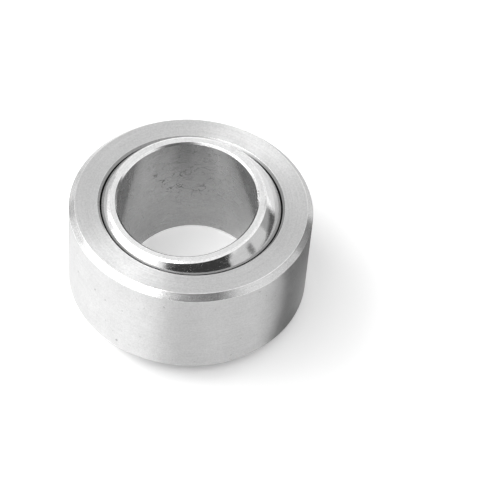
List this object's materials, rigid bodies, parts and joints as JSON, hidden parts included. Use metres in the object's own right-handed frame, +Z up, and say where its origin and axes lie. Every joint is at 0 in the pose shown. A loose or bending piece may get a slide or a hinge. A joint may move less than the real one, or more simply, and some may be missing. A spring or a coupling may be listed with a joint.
{
  "type": "spherical plain bearing",
  "caption": "Self-aligning plain bearing: a polished ball with a straight bore tilts inside a plain cylindrical steel race lined with a thin dry sliding layer.",
  "frame": {"origin": "centre of the ball, midway between its two flat faces; the centre of both rings", "axes": "+Z up along the ball's bore; the race leans in it about +Y, so that its axis tips towards +X and its low edge is at +X"},
  "size_m": [0.0462, 0.0444, 0.0254],
  "materials": {
    "ball_steel": "hard chrome on the sphere, polished to a mirror; ends ground, bore honed",
    "race_steel": "fine turned faces, satin ground outer diameter",
    "sliding_layer": "black dry sliding fabric, matt"
  },
  "bodies": {
    "inner_ring": {"ball": "ball_steel"},
    "outer_ring": {"outer_race": "race_steel", "liner": "sliding_layer"}
  },
  "joints": [
    {"name": "race_tilt", "type": "hinge", "parent": "inner_ring", "child": "outer_ring", "pos_m": [0, 0, 0], "axis": [0, 1, 0], "range_deg": [-15.06, 2.94]}
  ]
}
